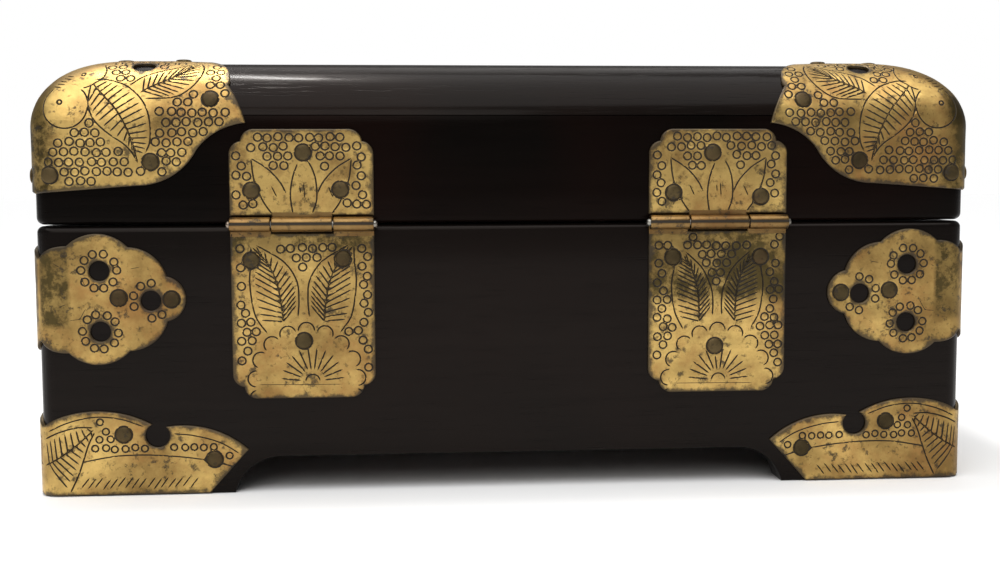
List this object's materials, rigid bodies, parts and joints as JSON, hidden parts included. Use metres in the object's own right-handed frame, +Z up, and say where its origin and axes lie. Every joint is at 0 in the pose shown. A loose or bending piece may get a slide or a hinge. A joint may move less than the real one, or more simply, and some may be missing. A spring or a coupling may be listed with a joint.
{
  "type": "jewelry box",
  "caption": "Dark hardwood jewellery box with bracket feet, engraved brass mounts, a strap-hinged cushion-topped lid, a front hasp and a lift-out divided tray.",
  "frame": {"origin": "on the table, under the middle of the whole box, hinge barrels and lock eyes included", "axes": "+X to the right when the front is seen, +Y towards the hinges at the back, +Z up"},
  "size_m": [0.2556, 0.1954, 0.1178],
  "materials": {
    "dark_wood": "near-black hardwood, polished to a high gloss",
    "tray_wood": "dark red-brown hardwood, satin",
    "brass": "engraved sheet brass, worn and lightly tarnished",
    "steel": "turned pin, dulled",
    "brocade": "woven silk brocade, dark red",
    "velvet": "short-pile velvet, dark red"
  },
  "bodies": {
    "case": {"back_board": "dark_wood", "front_board": "dark_wood", "right_board": "dark_wood", "left_board": "dark_wood", "bottom_board": "tray_wood", "floor_pad": "brocade", "lining_back": "brocade", "lining_front": "brocade", "lining_right": "brocade", "lining_left": "brocade", "corner_strap_back_right": "brass", "corner_strap_back_left": "brass", "corner_strap_front_right": "brass", "corner_strap_front_left": "brass", "foot_mount_back_right": "brass", "foot_mount_back_left": "brass", "foot_mount_front_right": "brass", "foot_mount_front_left": "brass", "hinge_lower_leaf_right": "brass", "hinge_lower_leaf_left": "brass", "hinge_pin_right": "steel", "hinge_pin_left": "steel", "lock_plate_lower": "brass", "lock_eye_right": "brass", "lock_eye_left": "brass"},
    "lid": {"lid_rail_back": "dark_wood", "lid_rail_front": "dark_wood", "lid_rail_right": "dark_wood", "lid_rail_left": "dark_wood", "top_frame_back": "dark_wood", "top_frame_front": "dark_wood", "top_frame_right": "dark_wood", "top_frame_left": "dark_wood", "top_panel": "dark_wood", "lid_pad": "brocade", "lid_mount_back_right": "brass", "lid_mount_back_left": "brass", "lid_mount_front_right": "brass", "lid_mount_front_left": "brass", "hinge_upper_leaf_right": "brass", "hinge_upper_leaf_left": "brass", "lock_plate_upper": "brass", "hasp_pin": "steel"},
    "hasp": {"hasp": "brass"},
    "tray": {"tray_base": "tray_wood", "tray_back": "tray_wood", "tray_front": "tray_wood", "tray_right": "tray_wood", "tray_left": "tray_wood", "tray_divider_right": "tray_wood", "tray_divider_left": "tray_wood", "tray_divider_cross": "tray_wood", "tray_knob_right": "brass", "tray_knob_left": "brass", "tray_pad_middle": "velvet", "tray_pad_back": "velvet", "tray_pad_front": "velvet", "ring_cushion": "velvet"}
  },
  "joints": [
    {"name": "lid_hinge", "type": "hinge", "parent": "case", "child": "lid", "pos_m": [0, 0.0957, 0.0724], "axis": [-1, 0, 0], "range_deg": [0, 105]},
    {"name": "hasp_hinge", "type": "hinge", "parent": "lid", "child": "hasp", "pos_m": [0, -0.0891, 0.09], "axis": [-1, 0, 0], "range_deg": [0, 150]},
    {"name": "tray_lift", "type": "slide", "parent": "case", "child": "tray", "axis": [0, 0, 1], "range_m": [0, 0.027]}
  ]
}
